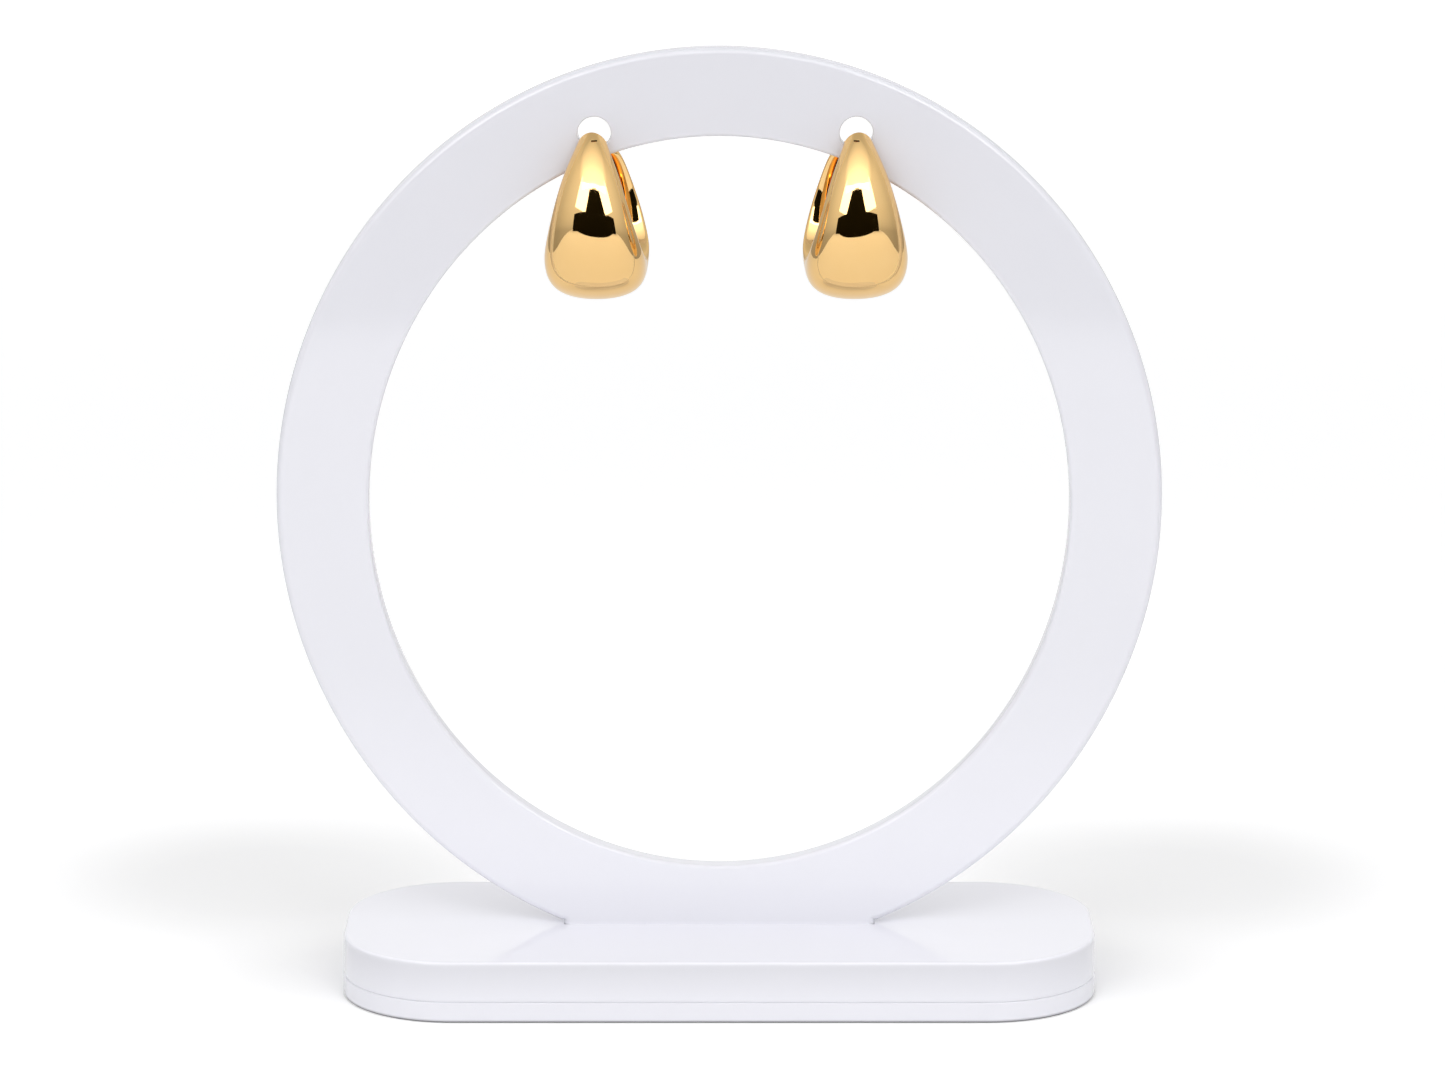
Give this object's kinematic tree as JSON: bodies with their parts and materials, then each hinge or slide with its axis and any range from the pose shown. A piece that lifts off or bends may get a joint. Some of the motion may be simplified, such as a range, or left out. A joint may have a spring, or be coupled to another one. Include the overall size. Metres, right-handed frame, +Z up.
{
  "type": "pair of hoop earrings on a ring display stand",
  "caption": "Upright ring-shaped acrylic display stand on a rounded two-layer base, with a pair of polished gold teardrop dome hoop earrings hanging through holes near its top.",
  "frame": {"origin": "middle of the base's underside, at the centre of the bounding box's bottom face", "axes": "+Z up, +X to the right along the ring and the base as seen from the front, +Y to the back"},
  "size_m": [0.159, 0.0536, 0.1717],
  "materials": {
    "white_acrylic": "polished white acrylic",
    "polished_gold": "mirror-polished yellow gold plating"
  },
  "bodies": {
    "root": {"base_plate": "white_acrylic", "base_slab": "white_acrylic", "display_ring": "white_acrylic", "hoop_left": "polished_gold", "post_left": "polished_gold", "hoop_right": "polished_gold", "post_right": "polished_gold"}
  },
  "joints": []
}
